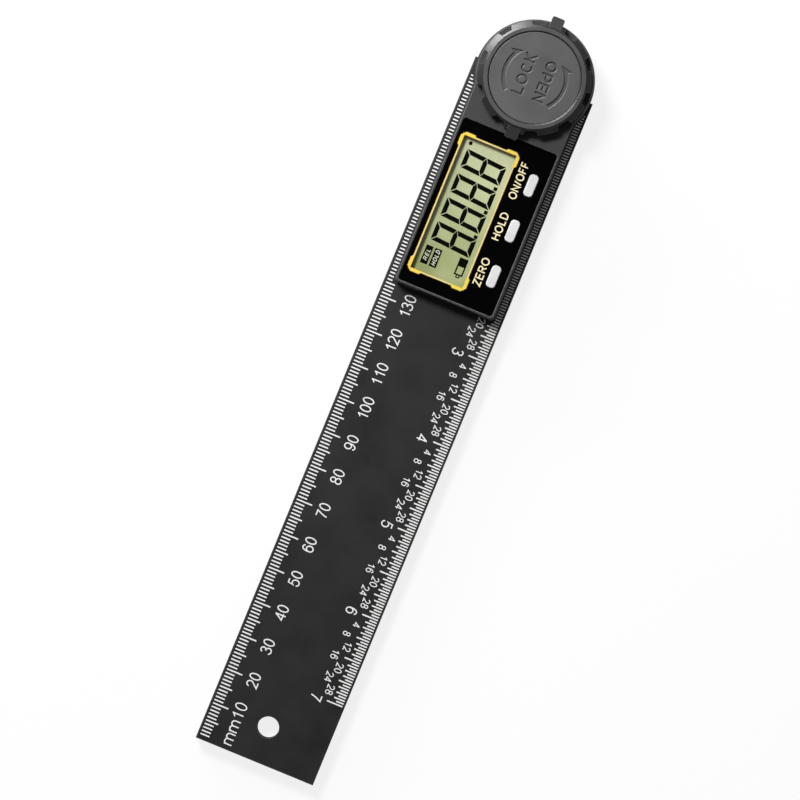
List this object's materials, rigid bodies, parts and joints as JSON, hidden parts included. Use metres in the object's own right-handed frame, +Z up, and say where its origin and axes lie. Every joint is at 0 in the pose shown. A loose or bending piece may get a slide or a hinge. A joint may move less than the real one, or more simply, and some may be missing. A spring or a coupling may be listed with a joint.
{
  "type": "digital angle ruler",
  "caption": "Folding ruler with two flat arms on a locking toothed knob, and a raised digital angle display with buttons beside the pivot.",
  "frame": {"origin": "on the pivot axis, at the underside of the back arm", "axes": "+Y along the folded ruler from its free end to its knob end, +X towards the inch scale's edge, +Z up through the knob"},
  "size_m": [0.0344, 0.2183, 0.0182],
  "materials": {
    "blade_plastic": "fine matt texture",
    "housing_plastic": "satin grey moulding",
    "knob_plastic": "satin grey moulding",
    "panel_gloss": "gloss black",
    "frame_yellow": "satin yellow",
    "clear_window": "clear",
    "lcd": "reflective display",
    "button_plastic": "pale grey",
    "holder_plastic": "white moulding",
    "switch_plastic": "black moulding",
    "washer_plastic": "natural nylon",
    "resin": "black resin",
    "connector_rubber": "matt grey",
    "board": "green board",
    "steel": "plated steel",
    "cell_steel": "bright can",
    "contact_metal": "spring sheet",
    "nut_brass": "turned brass"
  },
  "bodies": {
    "back_arm": {"back_arm": "blade_plastic", "pivot_cover": "blade_plastic", "pivot_bolt": "steel", "friction_washer": "washer_plastic", "encoder_rotor": "board", "rotor_screws": "steel"},
    "front_arm": {"front_arm": "blade_plastic", "housing_screws": "steel", "battery_cover": "housing_plastic", "coin_cell": "cell_steel", "battery_top_contact": "contact_metal", "battery_side_contact": "contact_metal", "main_board": "board", "board_screws": "steel", "controller_chip": "resin", "quartz_crystal": "cell_steel", "lcd_holder": "holder_plastic", "zebra_connector": "connector_rubber", "lcd_glass": "lcd", "display_housing": "housing_plastic", "front_panel": "panel_gloss", "display_window": "clear_window", "display_frame": "frame_yellow", "on_off_switch": "switch_plastic", "hold_switch": "switch_plastic", "zero_switch": "switch_plastic", "disc_spring": "steel", "knob_washer": "steel"},
    "on_off_button": {"on_off_button": "button_plastic"},
    "hold_button": {"hold_button": "button_plastic"},
    "zero_button": {"zero_button": "button_plastic"},
    "knob": {"knob": "knob_plastic", "knob_nut": "nut_brass", "knob_cap": "knob_plastic"}
  },
  "joints": [
    {"name": "arm_hinge", "type": "hinge", "parent": "back_arm", "child": "front_arm", "pos_m": [0, 0, 0.0034], "axis": [0, 0, 1], "continuous": true},
    {"name": "knob_turn", "type": "hinge", "parent": "back_arm", "child": "knob", "pos_m": [0, 0, 0.0133], "axis": [0, 0, 1], "range_deg": [0, 90]},
    {"name": "on_off_press", "type": "slide", "parent": "front_arm", "child": "on_off_button", "axis": [0, 0, -1], "range_m": [0, 0.0004], "stiffness_N_per_m": 500, "springref_m": -0.0004},
    {"name": "hold_press", "type": "slide", "parent": "front_arm", "child": "hold_button", "axis": [0, 0, -1], "range_m": [0, 0.0004], "stiffness_N_per_m": 500, "springref_m": -0.0004},
    {"name": "zero_press", "type": "slide", "parent": "front_arm", "child": "zero_button", "axis": [0, 0, -1], "range_m": [0, 0.0004], "stiffness_N_per_m": 500, "springref_m": -0.0004}
  ]
}
